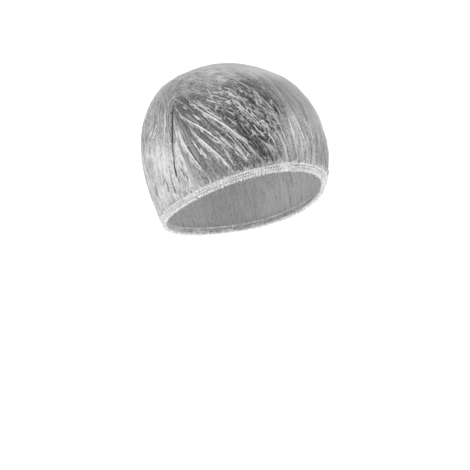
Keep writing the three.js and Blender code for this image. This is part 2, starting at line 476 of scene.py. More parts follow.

# %% [markdown]
# ## One crease
# The creases that show as white lines are laid one by one; a white line is partly the crease's
# own whitening and partly a painted highlight. Each is a path over the film. On either side the
# height falls off as an exponential, quicker on one side, since one facet is always steeper. Some
# folds are also ribbons: a band of film that lies doubled and crumpled on one side of the line.
# Three numbers are kept for the finish: the **gap** to the nearest line in mm, how white that
# line is (below zero for a dark line, which is painted shade), and how many mm inside a
# **ribbon** a point is. Such lengths blend evenly from point to point, so the finish can draw
# edges and lines from them that are much thinner than the mesh is fine.

# %% The grid near a path
LEVEL_DEPTH = 22  # mm, which no level above the seam is less than


def window(angles, levels, reach):
    """The rows and columns of the grid within reach of a path, in mm."""
    wide, tall = reach / read(mm_per_degree, angles, levels).min(), reach / LEVEL_DEPTH
    rows = np.searchsorted(film_levels, [levels.min() - tall, levels.max() + tall])
    first, last = max(rows[0], 0), min(rows[1] + 1, FILM_ROWS + 1)
    step = 360 / FILM_COLUMNS
    start, stop = math.floor((angles.min() - wide) / step), math.ceil((angles.max() + wide) / step)
    columns = np.arange(start, min(stop, start + FILM_COLUMNS)) % FILM_COLUMNS
    return np.ix_(range(first, last), columns)


def beside(points, out, path):
    """For each point: mm to the path, how far along it that is from 0 to 1, and which side."""
    nearest = np.full(points.shape[:2], np.inf)
    along, side = np.zeros_like(nearest), np.ones_like(nearest)
    spans = np.linalg.norm(np.diff(path, axis=0), axis=1).clip(1e-6)
    run = np.concatenate([[0], np.cumsum(spans)])
    for i, span in enumerate(spans):
        direction = (path[i + 1] - path[i]) / span
        off = points - path[i]
        t = np.clip(off @ direction, 0, span)
        off = off - t[..., None] * direction
        away = np.linalg.norm(off, axis=-1)
        closer = away < nearest
        nearest = np.where(closer, away, nearest)
        along = np.where(closer, (run[i] + t) / run[-1], along)
        across = np.einsum("ijk,ijk->ij", off, np.cross(direction, out))
        side = np.where(closer, np.where(across < 0, -1, 1), side)
    return nearest, along, side


# %% Stamp one crease on the grid
NO_LINE, NO_RIBBON = 9.0, -3.0  # mm, too far off to show
LINE_REACH = 2.6  # mm, within which a point keeps its gap to a line
LINE_PULL = 1.6  # mm, by which a full white line outreaches a faint one
END_FADE = 1.5  # mm, past the ends of a crease
WINDOW = 3.2  # widths of a crease, past which nothing of it is felt

gap = np.full_like(height, NO_LINE)
white = np.zeros_like(height)
ribbon = np.full_like(height, NO_RIBBON)


def stamp(angles, levels, rise, near, far, whiteness, doubled=0):
    """Adds a crease along a path. near, far and doubled are widths in mm."""
    block = window(angles, levels, WINDOW * max(near, far, doubled / 2))
    path = form_point(angles, levels)
    nearest, along, side = beside(film_form[block], film_out[block], path)
    fade = np.sin(np.pi * np.clip(along, 0.01, 0.99)) ** 0.8
    ends = np.where((along <= 0) | (along >= 1), np.exp(-((nearest / END_FADE) ** 2)), 1)
    height[block] += rise * fade * ends * np.exp(-nearest / np.where(side > 0, near, far))
    # a white line is partly the crease's own whitening and partly a painted highlight; below zero it is
    # a dark line of painted shade
    if whiteness:
        strength = whiteness * fade * ends
        ours, theirs = (LINE_PULL * np.abs(share) for share in (strength, white[block]))
        ours = (nearest < LINE_REACH) & (nearest - ours < np.abs(gap[block]) - theirs)
        gap[block] = np.where(ours, nearest * side, gap[block])
        white[block] = np.where(ours, strength, white[block])
    if doubled:
        wobble = np.sin(23 * along + 3 * rise) + 0.6 * np.sin(51 * along + 5 * rise)
        wide = doubled * fade**1.2 * (1 + 0.14 * wobble) * np.where(ends < 1, 0, 1)
        inside = np.minimum(nearest * side, wide - nearest * side)
        ribbon[block] = np.maximum(ribbon[block], inside)


# %% [markdown]
# ## The big folds
# A fan of long folds runs from above the right ear down to the hem at the forehead. They are
# the cap's most marked feature, so each is laid singly, as a few (angle, level) places. Behind
# the fan the film is pulled into a dent, painted dark as shade, with a wide doubled wedge beside it.

# %% The fan of pulled folds, the dent behind it, and the long folds at the front
# rise: mm, and below zero for a dent. near and far: the widths of its two facets, mm.
# whiteness: of its line, partly the crease's own whitening and partly a painted highlight, and
# below zero for a dark line of painted shade. doubled: the ribbon's width, mm.
FOLD_COLUMNS = ("path", "rise", "near", "far", "whiteness", "doubled")
BIG_FOLDS = (
    (
        [(286, 2.7), (291, 3.0), (300, 3.5), (309, 3.9), (317, 4.5), (325, 5.4), (332, 6.1)],
        *(2.2, 3.6, 1.4, 1, 3.2),
    ),
    ([(287, 2.7), (300, 3.3), (309, 3.8), (315, 4.2)], 0.8, 1.6, 1.2, 0.8, 0),
    ([(304, 4.1), (309, 4.6), (314, 5.2), (319, 5.8)], 1.0, 2.0, 1.2, 0.7, 1.8),
    ([(280, 3.1), (288, 3.6), (296, 3.9), (304, 4.4), (310, 5.0), (315, 5.5)], 1.8, 3.2, 1.4, 0.9, 3.0),
    ([(289, 3.8), (294, 4.3), (300, 4.8), (305, 5.3), (313, 6.4)], 1.8, 3.2, 1.4, 1, 3.9),
    ([(280, 3.5), (283, 4.2), (286, 4.6), (289, 5.1), (292, 5.5), (296, 6.4)], 1.8, 3.2, 1.4, 1, 4.4),
    ([(281, 4.0), (280, 4.4), (282, 5.0), (282, 5.4), (282, 6.2)], 1.4, 3.5, 1.4, 0.8, 11.0),
    ([(284, 2.8), (278, 2.9), (277, 3.5), (275, 4.3), (273, 4.7)], -1.6, 1.2, 2.4, -1.3, 0),
    ([(275, 4.0), (272, 5.1), (273, 5.5), (271, 6.2)], -1.0, 1.2, 2.4, -1.1, 0),
    ([(282, 2.7), (277, 2.7), (274, 2.8), (274, 3.1)], 0.6, 1.4, 1.2, 0.7, 0),
    ([(280, 3.1), (280, 3.6), (281, 4.2)], 0.5, 1.6, 1.0, 0.3, 3.0),
    ([(277, 5.0), (278, 5.3), (279, 5.6)], -0.4, 1.0, 1.0, -0.8, 0),
    ([(279, 5.2), (280, 5.5), (280, 5.8)], -0.4, 1.0, 1.0, -0.8, 0),
    ([(281, 4.0), (283, 4.2), (285, 4.6)], 0.5, 1.2, 1.0, 0.8, 0),
    ([(292, 3.4), (295, 3.6), (299, 3.8)], 0.4, 1.2, 1.0, 0.8, 0),
    ([(288, 4.2), (293, 4.6), (299, 5.3)], 0.5, 1.6, 1.2, -0.3, 3.4),
    ([(285, 3.1), (290, 3.3)], 0.3, 1.0, 1.0, 0.6, 0),
    ([(313, 4.4), (318, 5.0), (324, 5.9)], 0.5, 1.2, 1.0, 0.5, 1.2),
    ([(316, 4.3), (321, 4.9), (328, 5.9)], 0.5, 1.2, 1.0, 0.5, 1.2),
    ([(309, 4.2), (314, 4.8), (320, 5.7)], 0.5, 1.2, 1.0, 0.4, 1.2),
    ([(318, 3.7), (320, 4.2), (323, 4.7)], -0.6, 1.6, 1.6, -2.2, 0),
    ([(328, 3.0), (334, 3.5)], -0.6, 1.6, 1.6, -2.6, 0),
    ([(327, 4.6), (335, 5.2)], -0.6, 1.6, 1.6, -1.8, 0),
    ([(248, 5.0), (247, 5.4), (245, 5.9)], -0.8, 1.4, 2.4, -0.8, 0),
    ([(261, 5.0), (262, 5.5), (261, 5.9)], -0.8, 1.4, 2.4, -0.9, 0),
    ([(266, 5.4), (267, 5.8), (267, 6.2)], -0.8, 1.4, 2.4, -0.9, 0),
    ([(263, 4.2), (262, 4.7), (261, 5.2)], -0.6, 1.4, 2.4, -0.5, 0),
    ([(263, 4.5), (265, 4.9), (266, 5.4)], 0.8, 2.4, 1.2, 0.3, 4.0),
    ([(251, 5.2), (252, 5.6), (253, 6.1)], 0.8, 2.4, 1.2, 0.3, 4.0),
    ([(245, 4.8), (248, 5.3)], 0.5, 1.6, 1.2, 0.8, 2.0),
    ([(266, 5.5), (268, 5.9), (270, 6.3)], 0.5, 1.6, 1.2, 0.5, 2.5),
    ([(264, 3.40), (260, 3.65)], 0.4, 1.0, 1.0, 1.2, 0),
    ([(263, 3.65), (257, 3.81)], 0.4, 1.0, 1.0, 1.4, 0),
    ([(258, 3.58), (253, 3.74)], 0.4, 1.0, 1.0, 1.1, 0),
    ([(250, 2.80), (247, 2.97)], 0.4, 1.0, 1.0, 1.1, 0),
    ([(255, 2.98), (253, 3.13)], 0.4, 1.0, 1.0, 1.1, 0),
    ([(312, 3.2), (318, 3.2), (325, 3.3)], 0.9, 2.0, 1.2, 0.8, 3.5),
    ([(315, 2.7), (320, 2.97), (325, 3.24)], 0.7, 2.0, 1.2, 0.8, 2.5),
    ([(329, 2.4), (334, 3.1), (337, 3.5), (340, 4.2), (345, 5.4)], 0.8, 1.6, 3.0, 0.6, 0),
    ([(328, 3.4), (332, 4.8), (343, 6.1)], 1.0, 1.8, 4.0, 0.6, 0),
    ([(38, 3.2), (42, 4.5), (46, 6.0)], 0.3, 2.0, 4.5, 0.6, 0),
    ([(66, 3.0), (70, 4.5), (74, 6.0)], 0.3, 2.0, 4.5, 0.6, 0),
    ([(96, 2.8), (97, 4.5), (98, 6.0)], -1.4, 2.0, 5.0, -0.6, 0),
    ([(125, 2.6), (122, 3.6), (119, 5.0), (118, 6.0)], 1.6, 2.0, 4.5, 0.6, 0),
    ([(160, 3.0), (158, 4.0), (153, 5.2), (152, 6.0)], 1.6, 2.0, 5.0, 0.6, 0),
    ([(181, 3.0), (183, 4.5), (184, 6.0)], -1.6, 2.0, 5.0, -0.6, 0),
    ([(206, 2.8), (209, 4.0), (209, 5.2), (212, 6.0)], 1.6, 2.0, 5.0, 0.6, 0),
    ([(238, 3.0), (242, 4.5), (246, 6.0)], 1.0, 2.0, 4.5, 0.6, 0),
)


def smooth_path(places, count=18):
    """The places joined by a smooth curve."""
    knots, fine = np.arange(len(places)), np.linspace(0, len(places) - 1, count)
    curve = np.stack([np.interp(fine, knots, column) for column in np.array(places, float).T])
    for _ in range(3):
        curve[:, 1:-1] = (curve[:, :-2] + 2 * curve[:, 1:-1] + curve[:, 2:]) / 4
    return curve


def lay(path, rise, near, far, whiteness, doubled):
    stamp(*smooth_path(path), rise, near, far, whiteness, doubled)


for row in BIG_FOLDS:
    lay(**dict(zip(FOLD_COLUMNS, row)))
print(len(BIG_FOLDS), "big folds laid")

# %% [markdown]
# ## Thin crossing lines
# Over the forehead one set of straight, hair-thin creases crosses another. The longest of them
# are laid singly too. All have the same shape, so a row gives only a path and a whiteness.

# %% Thin lines
THIN_LINES = (
    ([(322, 2.8), (331, 4.0), (338, 4.6), (345, 5.4)], 0.9),
    ([(323, 3.2), (327, 4.1), (334, 5.2), (343, 6.2)], 0.9),
    ([(318, 3.3), (326, 4.5), (332, 5.1), (340, 6.1)], 0.9),
    ([(326, 2.9), (333, 3.7), (341, 4.6), (348, 5.6)], 0.6),
    ([(335, 2.5), (337, 3.5), (338, 4.1), (338, 4.8)], 0.9),
    ([(344, 3.0), (343, 3.7), (341, 4.5)], 0.6),
    ([(339, 3.2), (345, 4.6), (351, 6.1)], 0.7),
    ([(351, 3.4), (352, 4.2), (353, 5.2), (356, 6.2)], 0.8),
    ([(356, 3.6), (359, 4.5), (363, 5.6), (366, 6.3)], 0.8),
    ([(365, 3.7), (368, 4.5), (371, 5.4), (374, 6.3)], 0.7),
    ([(331, 2.1), (337, 2.8), (342, 3.4), (344, 4.0)], -0.7),
    ([(343, 2.0), (349, 2.8), (354, 3.8)], -0.6),
    ([(350, 2.7), (351, 3.6), (350, 4.6)], -0.7),
    ([(355, 2.8), (357, 3.5), (361, 4.0)], -0.6),
    ([(371, 2.8), (369, 3.5), (367, 4.7)], -0.6),
)
THIN_RISE, THIN_NEAR, THIN_FAR = 0.45, 1.0, 1.6  # mm

for path, whiteness in THIN_LINES:
    lay(path, THIN_RISE, THIN_NEAR, THIN_FAR, whiteness, 0)
print(len(THIN_LINES), "thin lines laid")

# %% [markdown]
# ## Small creases by the hundred
# Small creases start at random places, more often where the film is lined, and walk a few
# millimetres at a time the way the film is drawn, straying a little. The seed is fixed, so the
# cap is the same every time.

# %% Scatter creases of one kind
WILD = 30  # degrees: a kind that strays by more belongs to crumpled film
# a white line is partly the crease's own whitening and partly a painted highlight, and a dark line is
# painted shade
DARK_SHARE = 0.35  # of the lines are dark
BARE_TOP = 0.6  # no crease starts above this level
dice = np.random.default_rng(7)


def starting_places(count, share):
    """Random places, spread by area and by share."""
    chance = mm_per_degree * share * np.clip(film_levels - BARE_TOP, 0, 1)[:, None]
    chance = chance.ravel() / chance.sum()
    row, column = np.unravel_index(dice.choice(chance.size, count, p=chance), height.shape)
    return film_angles[column], film_levels[row]


def scatter(count, long, rise, near, far, whiteness, stray):
    """Stamps every crease of one kind."""
    share = lined * (crumpled**2 if stray > WILD else 1 - 0.5 * crumpled)
    places = starting_places(count, share)
    steps = np.maximum(long / WALK_STEP * dice.uniform(0.5, 1.6, count), 2).astype(int)
    turn, curl = dice.normal(0, stray, count), dice.normal(0, 0.12 * stray, count)
    paths = [places]
    for i in range(steps.max()):
        paths.append(step_down(*paths[-1], WALK_STEP, turn + curl * i))
    paths = np.array(paths)
    rises = rise * dice.uniform(0.4, 1.2, count) * dice.choice([-1, 1], count)
    strengths = whiteness * dice.uniform(0.1, 1.0, count) * read(lined, *places) ** 0.7
    strengths = strengths * np.where(dice.random(count) < DARK_SHARE, -1, 1)
    if stray > WILD:
        strengths = strengths * np.clip(1.6 * read(crumpled, *places), 0, 1)
    for i in range(count):
        pair = (near, far) if dice.random() < 0.5 else (far, near)
        stamp(*paths[: steps[i] + 1, :, i].T, rises[i], *pair, strengths[i])


# %% The kinds of small crease
# count: over the whole cap. long: mm. rise: mm; half of each kind are dents. near and far:
# facet widths in mm. whiteness: of the strongest line. stray: degrees.
KIND_COLUMNS = ("count", "long", "rise", "near", "far", "whiteness", "stray")
CREASE_KINDS = {
    "long": (300, 34, 0.4, 1.2, 2.6, 1.0, 4),
    "short": (420, 13, 0.35, 0.9, 1.8, 0.75, 8),
    "crumple": (800, 5, 0.25, 0.8, 1.3, 1.0, 50),
}

for row in CREASE_KINDS.values():
    scatter(**dict(zip(KIND_COLUMNS, row)))
print("small creases:", sum(row[0] for row in CREASE_KINDS.values()))

# %% [markdown]
# ## Gathers above the seam
# The elastic draws the film in, so just above the seam it stands in short upright pleats, a
# few millimetres apart, that die away up the cap. So many crowd there that the film is milky
# just above the seam, in patches. Behind the hem the film lies flat and close to the head.

# %% Gathers
GATHER_PITCH = 4  # degrees round the hem
GATHER_NEAR, GATHER_FAR = 0.9, 1.5  # mm
MILKY_FROM, MILKY_OVER, SEAM_HAZE = 5.9, 0.3, 0.6  # levels, levels and haze
PATCH_SIZE = 6  # mm
BEHIND_HEM, BEHIND_OVER = 0.25, 0.12  # levels below the seam, and levels
BEHIND_SHARE, BEHIND_IN = 0.2, 0.5  # of the height that is left there, and mm further in
FLAT_TOP = 0.35  # levels, over which creases rise from the vertex
LOWEST, HIGHEST = -5, 5.5  # mm, as far as the film may stray from the smooth form


def gather():
    """Short upright pleats, one after another round the hem."""
    angle = 0.0
    while angle < 360:
        up = dice.uniform(0.2, 0.6) * (1.8 if dice.random() < 0.15 else 1)
        share = np.linspace(0, 1, 5)
        levels = FILM_END - share * (up + FILM_END - SEAM_LEVEL)
        angles = angle + dice.normal(0, 2.5) * share**1.3
        rise = dice.uniform(0.25, 0.8)
        stamp(angles, levels, rise, GATHER_NEAR, GATHER_FAR, dice.uniform(-0.4, 0.5))
        angle += GATHER_PITCH * dice.uniform(0.6, 1.4)


gather()
near_seam = np.clip((film_levels - MILKY_FROM) / MILKY_OVER, 0, 1)[:, None]
near_seam = near_seam * np.clip(0.9 + 0.9 * noise(film_form / PATCH_SIZE, 9), 0, 1)
haze = haze + (SEAM_HAZE - haze) * near_seam
free = np.clip((SEAM_LEVEL + BEHIND_HEM - film_levels) / BEHIND_OVER, 0, 1)[:, None]
still = BEHIND_SHARE + (1 - BEHIND_SHARE) * free
height *= np.clip(film_levels / FLAT_TOP, 0, 1)[:, None] * still
height -= BEHIND_IN * (1 - free)
height = np.clip(height, LOWEST, HIGHEST)
print("height from", height.min().round(2), "to", height.max().round(2), "mm")

# %% [markdown]
# ## Grid to mesh
# The grid becomes a mesh: one point at the vertex, rings of faces below it, and an attribute
# for each set of numbers that the film's finish reads.


# %% Skin a grid of points
def new_mesh(name, points, edges, faces):
    """A mesh whose points are given in mm."""
    mesh = bpy.data.meshes.new(name)
    mesh.from_pydata((points * MM).tolist(), edges, faces)
    return mesh


def skin(name, points, closed_top=False, **attributes):
    """A mesh object over rows of points that run right round the cap. Points are in mm."""
    rows, columns = points.shape[:2]
    index = np.arange(rows * columns).reshape(rows, columns)
    if closed_top:  # the first row is one point
        index = index - columns + 1
        index[0] = 0
    upper, lower = index[:-1], index[1:]
    faces = np.stack([upper, lower, np.roll(lower, -1, 1), np.roll(upper, -1, 1)], -1)
    top = faces[0, :, :3].tolist() if closed_top else []
    faces = top + faces[1 if closed_top else 0 :].reshape(-1, 4).tolist()

    def in_order(values):
        """The values in the order of the mesh's points."""
        first = values[0, :1] if closed_top else values[0]
        return np.concatenate([first, values[1:].reshape(-1, *values.shape[2:])])

    mesh = new_mesh(name, in_order(points), [], faces)
    for label, values in attributes.items():
        vector = values.ndim == 3
        layer = mesh.attributes.new(label, "FLOAT_VECTOR" if vector else "FLOAT", "POINT")
        values = in_order(values).astype(np.float32).ravel()
        layer.data.foreach_set("vector" if vector else "value", values)
    mesh.polygons.foreach_set("use_smooth", np.ones(len(mesh.polygons), bool))
    mesh.update()
    return in_scene(name, mesh)


# %% The film's mesh
FILM_STAND_OFF = 0.9  # mm, from the smooth form to the film at rest
film_points = film_form + film_out * (height + FILM_STAND_OFF)[..., None]
film = skin(
    "film_sheet",
    film_points,
    closed_top=True,
    haze=haze,
    lined=lined,
    crumpled=crumpled,
    gap=gap,
    white=white,
    ribbon=ribbon,
    crown=crown,
    drawn=along_creases(1, 1),
    over=over_crown(1, 1),
)
print("film of", len(film.data.polygons), "faces")

# %% [markdown]
# ## Words for nodes
# Finishes and Geometry Nodes are both trees of nodes. Adding a node, setting it and wiring its
# inputs takes many lines each time, so a few short functions do it for all of them.


# %% Helpers for every kind of tree
def is_socket(value):
    return isinstance(value, bpy.types.NodeSocket)


def wire(socket, value):
    """Gives an input a value, or links another node's output to it."""
    if is_socket(value):
        socket.id_data.links.new(value, socket)
    else:
        socket.default_value = value


def add_node(kind, inputs, output=0, tree=None, **settings):
    """A new node, in the tree that its inputs come from. Returns one of its outputs."""
    tree = tree or next(value.id_data for value in inputs.values() if is_socket(value))
    node = tree.nodes.new(kind)
    for name, value in settings.items():
        setattr(node, name, value)
    for name, value in inputs.items():
        wire(node.inputs[name], value)
    return node.outputs[output]


def new_group(name, kind, inputs, outputs):
    """A node group, and its inner ends. Each input has its default value, or a kind of socket."""
    tree = bpy.data.node_groups.new(name, kind)
    for label, value in inputs.items():
        sort = value if isinstance(value, str) else {float: "Float", int: "Int"}[type(value)]
        socket = tree.interface.new_socket(label, in_out="INPUT", socket_type="NodeSocket" + sort)
        if sort != value:
            socket.default_value = value
    for label, sort in outputs.items():
        tree.interface.new_socket(label, in_out="OUTPUT", socket_type="NodeSocket" + sort)
    return tree, tree.nodes.new("NodeGroupInput").outputs, tree.nodes.new("NodeGroupOutput").inputs


# %% Sums in a finish
def maths(operation, *values, clamp=False):
    """A Math node. Each value is a number or an output socket."""
    inputs = dict(enumerate(values))
    return add_node("ShaderNodeMath", inputs, operation=operation, use_clamp=clamp)


def times(first, second):
    return maths("MULTIPLY", first, second)


def added(value, weight, rest, clamp=False):
    """The value times its weight, and the rest."""
    return maths("MULTIPLY_ADD", value, weight, rest, clamp=clamp)


def larger(first, second, clamp=False):
    return maths("MAXIMUM", first, second, clamp=clamp)


def ramp(value, low, high, first=0.0, last=1.0):
    """A smooth step from first to last as value goes from low to high."""
    inputs = {"Value": value, "From Min": low, "From Max": high, "To Min": first, "To Max": last}
    return add_node("ShaderNodeMapRange", inputs, "Result", interpolation_type="SMOOTHSTEP")


def vectors(operation, first, second):
    """A Vector Math node. SCALE takes a number as its second value."""
    inputs = {0: first, "Scale" if operation == "SCALE" else 1: second}
    return add_node("ShaderNodeVectorMath", inputs, operation=operation)


# %% Patterns, colours and materials
def noise_node(place, detail, scale=1, output="Fac"):
    inputs = {"Vector": place, "Scale": scale, "Detail": detail}
    return add_node("ShaderNodeTexNoise", inputs, output)


def blend_colours(share, first, second):
    """The second colour by its share, over the first."""
    inputs = {"Factor": share, "A": first, "B": second}
    return add_node("ShaderNodeMix", inputs, "Result", data_type="RGBA")


def attribute(tree, name, output="Fac"):
    return add_node("ShaderNodeAttribute", {}, output, tree, attribute_name=name)


def object_place(tree):
    """Places in the cap's own frame, in metres."""
    return add_node("ShaderNodeTexCoord", {}, "Object", tree)


def grey(value):
    return (value, value, value, 1)


def plain_material(name, finish):
    """A new material, its tree and its Principled shader's sockets, some of them set."""
    material = bpy.data.materials.new(name)
    material.use_nodes = True
    surface = material.node_tree.nodes["Principled BSDF"].inputs
    for label, value in finish.items():
        surface[label].default_value = value
    return material, material.node_tree, surface


def bump(surface, height, strength, deep):
    """Roughens a surface by a height. deep is in mm."""
    inputs = {"Strength": strength, "Distance": deep * MM, "Height": height}
    wire(surface["Normal"], add_node("ShaderNodeBump", inputs))


# %% [markdown]
# ## The small patterns in film
# Both film finishes need the same two patterns of fine creases, so each is a node group.
# Streaks fold noise into a zigzag, as the mesh's own facets were made. Crumple splits the film
# into small flat cells with a tone of their own. Both put out a height and their crests as
# lines; the finishes use the height for bumps and as painted light and shade on the facets, and
# paint the crest lines white, partly as whitening and partly as painted highlights. Both are
# drawn twice, along the creases and over the crown, and fade from one to the other.

# %% The streaks' group
PLACES = {"Place": "Vector", "Crown place": "Vector", "Crown": 0.0}
PATTERN = {"Height": "Float", "Lines": "Float"}


def at_both_places(given, out, pattern):
    """Draws a pattern at a group's two places, and fades from one to the other."""
    across, along = given["Across"], given["Along"]
    sizes = add_node("ShaderNodeCombineXYZ", {"X": across, "Y": across, "Z": along})
    places = (vectors("DIVIDE", given[name], sizes) for name in ("Place", "Crown place"))
    for label, near, over in zip(PATTERN, *map(pattern, places)):
        fade = {"Factor": given["Crown"], "A": near, "B": over}
        wire(out[label], add_node("ShaderNodeMix", fade, "Result"))


def streak_group():
    inputs = PLACES | {"Across": 3.0, "Along": 30.0, "Folds": 9.0}
    tree, given, out = new_group("film_streaks", "ShaderNodeTree", inputs, PATTERN)

    def pattern(place):
        folded = maths("PINGPONG", times(noise_node(place, 1.5), given["Folds"]), 1.0)
        some = ramp(noise_node(place, 0.0), 0.44, 0.56)
        return folded, times(ramp(folded, 0.76, 0.96), some)

    at_both_places(given, out, pattern)
    return tree


# %% The crumple's group
def crumple_group():
    inputs = PLACES | {"Across": 5.0, "Along": 9.0, "Warp": 0.5}
    tree, given, out = new_group("film_crumple", "ShaderNodeTree", inputs, PATTERN)

    def pattern(place):
        warp = vectors("SCALE", noise_node(place, 2.0, output="Color"), given["Warp"])
        where = {"Vector": vectors("ADD", place, warp), "Scale": 1}
        cells = add_node("ShaderNodeTexVoronoi", where).node.outputs
        edges = add_node("ShaderNodeTexVoronoi", where, feature="DISTANCE_TO_EDGE")
        tone = add_node("ShaderNodeSeparateColor", {0: cells["Color"]}, "Red")
        rise = maths("ADD", added(cells["Distance"], -0.5, tone), 0.2, clamp=True)
        some = ramp(noise_node(place, 1.0), 0.34, 0.52)
        near = ramp(edges.node.outputs["Distance"], 0.01, 0.075, 1.0, 0.0)
        return rise, times(near, some)

    at_both_places(given, out, pattern)
    return tree


def drawn_at(group, *places, **sizes):
    """A pattern group over its places, with its sizes. Returns its height and its lines."""
    inputs = dict(zip(PLACES, places)) | sizes
    node = add_node("ShaderNodeGroup", inputs, node_tree=group).node
    return node.outputs["Height"], node.outputs["Lines"]


streaks, crumple = streak_group(), crumple_group()
print("groups:", streaks.name, crumple.name)

# %% [markdown]
# ## The film's finish
# Real film could be a glass shader a few hundredths of a millimetre thick, but then its look
# would hang on what stands behind it. A plain plastic shader with some alpha is steadier: the
# clear film is a dark grey that lets the far side through, haze makes it milkier and denser and
# paints soft reflections into it, and a crease line is nearly solid white, partly the crease's
# own whitening and partly a painted highlight. Where haze goes below zero, the film is darker
# still: a painted dark reflection.

# %% The clear film
# the crease colour is partly the crease's own whitening and partly a painted highlight; the darkest
# colour is a painted dark reflection, and the painted shade of dark creases
CLEAR_FILM, MILKY_FILM, PAINTED_DARK_FILM, CREASE_WHITE_HIGHLIGHT = grey(0.03), grey(0.60), grey(0.01), grey(0.66)
CLEAR_ALPHA, MILKY_ALPHA, PAINTED_DARK_ALPHA, CREASE_ALPHA = 0.82, 0.92, 0.95, 0.97
GRAIN_SIZE = 1.7  # mm


def film_material():
    finish = {"IOR": 1.5, "Specular IOR Level": 0.35}
    material, tree, surface = plain_material("clear_film", finish)
    haze, gap, white = (attribute(tree, name) for name in ("haze", "gap", "white"))

    # the two patterns, each large and small. Across and along are in mm
    places = [attribute(tree, name, "Vector") for name in ("drawn", "over")]
    places.append(attribute(tree, "crown"))
    broad, broad_lines = drawn_at(streaks, *places, Across=6.0, Along=110, Folds=9)
    fine, fine_lines = drawn_at(streaks, *places, Across=2.2, Along=36, Folds=7)
    large, large_lines = drawn_at(crumple, *places, Across=3.8, Along=17, Warp=0.3)
    small, small_lines = drawn_at(crumple, *places, Across=1.5, Along=5.0, Warp=0.5)
    grain = noise_node(vectors("SCALE", object_place(tree), 1000 / GRAIN_SIZE), 1.0)
    # the patterns' heights tone the film too: partly a random tone from facet to facet, and partly
    # painted light and shade, lighter on high facets and darker in low ones
    streak_tone = added(broad, 0.55, added(fine, 0.45, -0.5))
    streak_lines = added(broad_lines, 0.6, times(fine_lines, 0.55))
    crumple_tone = added(large, 0.75, added(small, 0.85, -0.75))
    crumple_lines = added(large_lines, 0.8, times(small_lines, 0.75))

    # inside a ribbon the film is milkier, and crumpled
    inside = ramp(added(crumple_tone, 2.2, attribute(tree, "ribbon")), 0.0, 0.6)
    crumpled = larger(attribute(tree, "crumpled"), times(inside, 0.95))
    streaky = added(crumpled, -0.75, 1.0)
    lined = larger(attribute(tree, "lined"), inside)

    # the creases laid one by one make bold white lines, partly their own whitening and partly a
    # painted highlight, and dark lines of painted shade; all are thinner and fainter where the film
    # is painted dark
    shown = ramp(haze, -0.9, 0.0)
    away = added(maths("ABSOLUTE", white), -0.5, maths("ABSOLUTE", gap))
    away = added(added(small, 1.0, -0.4), 0.8, away)
    away = added(added(shown, -0.32, 0.32), 1.0, away)
    bold = times(ramp(away, 0.0, 0.5, 1.0, 0.0), white)
    crease_shade = larger(times(bold, -1.0), 0.0, clamp=True)
    bold = times(bold, added(shown, 0.25, 0.75))

    # the small patterns' crests are white lines too, partly whitening and partly painted highlights,
    # and the painted shade of a dark crease hides them
    lines = times(added(crumple_lines, crumpled, times(streak_lines, streaky)), lined)
    lines = times(lines, added(shown, -0.05, 1.05))
    lines = larger(times(lines, added(crease_shade, -1.0, 1.0)), bold, clamp=True)

    # how milky the film is, with painted reflections and painted facet shade in it, how far it is
    # painted dark where that goes below zero, and a band of painted shade under each white crease
    shade_under_crease = times(ramp(gap, -2.6, -0.6), ramp(gap, -0.1, -0.6))
    tone = added(crumple_tone, crumpled, times(streak_tone, streaky))
    tone = added(added(grain, 1.6, -0.8), 1.0, tone)
    tone = added(tone, times(lined, 1.1), added(inside, 0.36, haze))
    tone = added(times(shade_under_crease, larger(white, 0.0)), -0.4, tone)
    milky = larger(times(tone, 0.77), 0.0, clamp=True)
    # deep is the share of painted dark: a painted dark reflection where the tone goes below zero, and
    # the painted shade of dark creases
    deep = larger(times(tone, -2.2), crease_shade, clamp=True)
    body = blend_colours(milky, CLEAR_FILM, MILKY_FILM)
    body = blend_colours(deep, body, PAINTED_DARK_FILM)
    wire(surface["Base Color"], blend_colours(lines, body, CREASE_WHITE_HIGHLIGHT))

    dense = added(milky, MILKY_ALPHA - CLEAR_ALPHA, CLEAR_ALPHA)
    dense = added(deep, PAINTED_DARK_ALPHA - CLEAR_ALPHA, dense)
    wire(surface["Alpha"], added(added(dense, -1.0, CREASE_ALPHA), lines, dense))
    wire(surface["Roughness"], added(milky, 0.2, 0.26))
    relief = added(added(fine, 0.4, broad), streaky, times(added(small, 0.5, large), crumpled))
    bump(surface, times(relief, lined), strength=0.7, deep=0.6)
    return material


film.data.materials.append(film_material())
print("finish on", film.name, "of", len(film.data.materials[0].node_tree.nodes), "nodes")

# %% [markdown]
# ## The hem
# The film's edge is folded under and sewn down over the elastic, and the elastic bunches it
# into small uneven pleats. Two rows of stitches pinch it flat. Above the upper row it stands up
# as a thin ragged frill, and at the fold it makes a scalloped edge. It could be part of the
# film's grid, but it needs more than twice as many columns, so it is a mesh of its own in
# front of the film's end.

# %% The hem's profile
# It runs from the frill's top down the outside, round the fold and up the inside. above: mm
# above the fold. out: mm out from the smooth form. pleat: how deep the pleats are, mm.
HEM_COLUMNS = ("above", "out", "pleat")
HEM_PROFILE = (
    (9.8, 0.85, 0.10),
    (9.2, 1.20, 0.35),
    (8.4, 1.40, 0.50),
    (7.4, 1.35, 0.50),
    (6.4, 1.15, 0.40),
    (5.8, 0.95, 0.25),
    (5.2, 0.75, 0.10),
    (4.6, 0.95, 0.25),
    (3.9, 1.10, 0.32),
    (3.2, 0.95, 0.25),
    (2.6, 0.75, 0.10),
    (2.0, 1.00, 0.30),
    (1.2, 1.25, 0.45),
    (0.4, 1.10, 0.45),
    (-0.1, 0.50, 0.35),
    (-0.2, -0.60, 0.30),
    (0.1, -1.80, 0.30),
    (1.0, -2.40, 0.35),
    (3.0, -2.30, 0.15),
    (4.5, -2.60, 0.35),
    (6.0, -2.30, 0.15),
    (7.2, -2.60, 0.40),
    (8.4, -2.70, 0.45),
)
